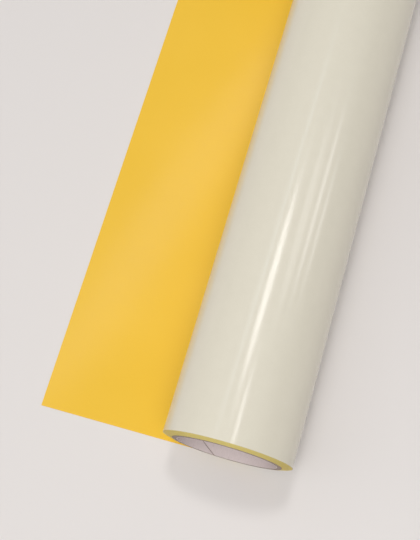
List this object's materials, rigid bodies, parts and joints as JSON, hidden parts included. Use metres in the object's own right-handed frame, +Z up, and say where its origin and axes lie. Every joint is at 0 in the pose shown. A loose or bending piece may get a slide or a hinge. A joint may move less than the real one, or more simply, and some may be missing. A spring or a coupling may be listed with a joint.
{
  "type": "roll of sign vinyl",
  "caption": "Roll of self-adhesive sign film on its release liner, wound film-inwards on a hollow paper core, its free end lying flat.",
  "frame": {"origin": "on the table, under the middle of the whole object (roll and free end)", "axes": "+Z up; +Y along the roll's axis, from the end seen in the picture to the far end; +X across the roll, away from the free end"},
  "size_m": [0.2108, 0.6116, 0.0998],
  "materials": {
    "yellow_film": "semi-gloss cast PVC film",
    "release_liner": "glossy cream silicone-coated paper",
    "grey_board": "matt grey board",
    "core_lining_paper": "smooth grey lining paper",
    "double_sided_tape": "matt tissue tape"
  },
  "bodies": {
    "roll": {"core_inner_ply": "core_lining_paper", "core_body_ply_1": "grey_board", "core_body_ply_2": "grey_board", "core_body_ply_3": "grey_board", "core_outer_ply": "grey_board", "core_tape": "double_sided_tape", "wound_liner": "release_liner", "wound_film": "yellow_film", "outer_turn_liner": "release_liner", "outer_turn_film": "yellow_film"},
    "free_end_01": {"free_liner_strip_01": "release_liner", "free_film_strip_01": "yellow_film"},
    "free_end_02": {"free_liner_strip_02": "release_liner", "free_film_strip_02": "yellow_film"},
    "free_end_03": {"free_liner_strip_03": "release_liner", "free_film_strip_03": "yellow_film"},
    "free_end_04": {"free_liner_strip_04": "release_liner", "free_film_strip_04": "yellow_film"},
    "free_end_05": {"free_liner_strip_05": "release_liner", "free_film_strip_05": "yellow_film"},
    "free_end_06": {"free_liner_strip_06": "release_liner", "free_film_strip_06": "yellow_film"},
    "free_end_07": {"free_liner_strip_07": "release_liner", "free_film_strip_07": "yellow_film"},
    "free_end_08": {"free_liner_strip_08": "release_liner", "free_film_strip_08": "yellow_film"},
    "free_end_09": {"free_liner_strip_09": "release_liner", "free_film_strip_09": "yellow_film"},
    "free_end_10": {"free_liner_strip_10": "release_liner", "free_film_strip_10": "yellow_film"},
    "free_end_11": {"free_liner_strip_11": "release_liner", "free_film_strip_11": "yellow_film"},
    "free_end_12": {"free_liner_strip_12": "release_liner", "free_film_strip_12": "yellow_film"}
  },
  "joints": [
    {"name": "free_end_bend_01", "type": "hinge", "parent": "roll", "child": "free_end_01", "pos_m": [0.04907, 0, 0.0001], "axis": [0, 1, 0], "range_deg": [0, 14.65]},
    {"name": "free_end_bend_02", "type": "hinge", "parent": "free_end_01", "child": "free_end_02", "pos_m": [0.03619, 0, 0.0001], "axis": [0, 1, 0], "range_deg": [0, 14.65]},
    {"name": "free_end_bend_03", "type": "hinge", "parent": "free_end_02", "child": "free_end_03", "pos_m": [0.02331, 0, 0.0001], "axis": [0, 1, 0], "range_deg": [0, 14.65]},
    {"name": "free_end_bend_04", "type": "hinge", "parent": "free_end_03", "child": "free_end_04", "pos_m": [0.01043, 0, 0.0001], "axis": [0, 1, 0], "range_deg": [0, 14.65]},
    {"name": "free_end_bend_05", "type": "hinge", "parent": "free_end_04", "child": "free_end_05", "pos_m": [-0.00245, 0, 0.0001], "axis": [0, 1, 0], "range_deg": [0, 14.65]},
    {"name": "free_end_bend_06", "type": "hinge", "parent": "free_end_05", "child": "free_end_06", "pos_m": [-0.01533, 0, 0.0001], "axis": [0, 1, 0], "range_deg": [0, 14.65]},
    {"name": "free_end_bend_07", "type": "hinge", "parent": "free_end_06", "child": "free_end_07", "pos_m": [-0.02821, 0, 0.0001], "axis": [0, 1, 0], "range_deg": [0, 14.65]},
    {"name": "free_end_bend_08", "type": "hinge", "parent": "free_end_07", "child": "free_end_08", "pos_m": [-0.04109, 0, 0.0001], "axis": [0, 1, 0], "range_deg": [0, 14.65]},
    {"name": "free_end_bend_09", "type": "hinge", "parent": "free_end_08", "child": "free_end_09", "pos_m": [-0.05397, 0, 0.0001], "axis": [0, 1, 0], "range_deg": [0, 14.65]},
    {"name": "free_end_bend_10", "type": "hinge", "parent": "free_end_09", "child": "free_end_10", "pos_m": [-0.06685, 0, 0.0001], "axis": [0, 1, 0], "range_deg": [0, 14.65]},
    {"name": "free_end_bend_11", "type": "hinge", "parent": "free_end_10", "child": "free_end_11", "pos_m": [-0.07973, 0, 0.0001], "axis": [0, 1, 0], "range_deg": [0, 14.65]},
    {"name": "free_end_bend_12", "type": "hinge", "parent": "free_end_11", "child": "free_end_12", "pos_m": [-0.09261, 0, 0.0001], "axis": [0, 1, 0], "range_deg": [0, 14.65]}
  ],
  "couplings": [
    {"joint": "free_end_bend_02", "follows": "free_end_bend_01", "ratio": 1},
    {"joint": "free_end_bend_03", "follows": "free_end_bend_01", "ratio": 1},
    {"joint": "free_end_bend_04", "follows": "free_end_bend_01", "ratio": 1},
    {"joint": "free_end_bend_05", "follows": "free_end_bend_01", "ratio": 1},
    {"joint": "free_end_bend_06", "follows": "free_end_bend_01", "ratio": 1},
    {"joint": "free_end_bend_08", "follows": "free_end_bend_07", "ratio": 1},
    {"joint": "free_end_bend_09", "follows": "free_end_bend_07", "ratio": 1},
    {"joint": "free_end_bend_10", "follows": "free_end_bend_07", "ratio": 1},
    {"joint": "free_end_bend_11", "follows": "free_end_bend_07", "ratio": 1},
    {"joint": "free_end_bend_12", "follows": "free_end_bend_07", "ratio": 1}
  ]
}
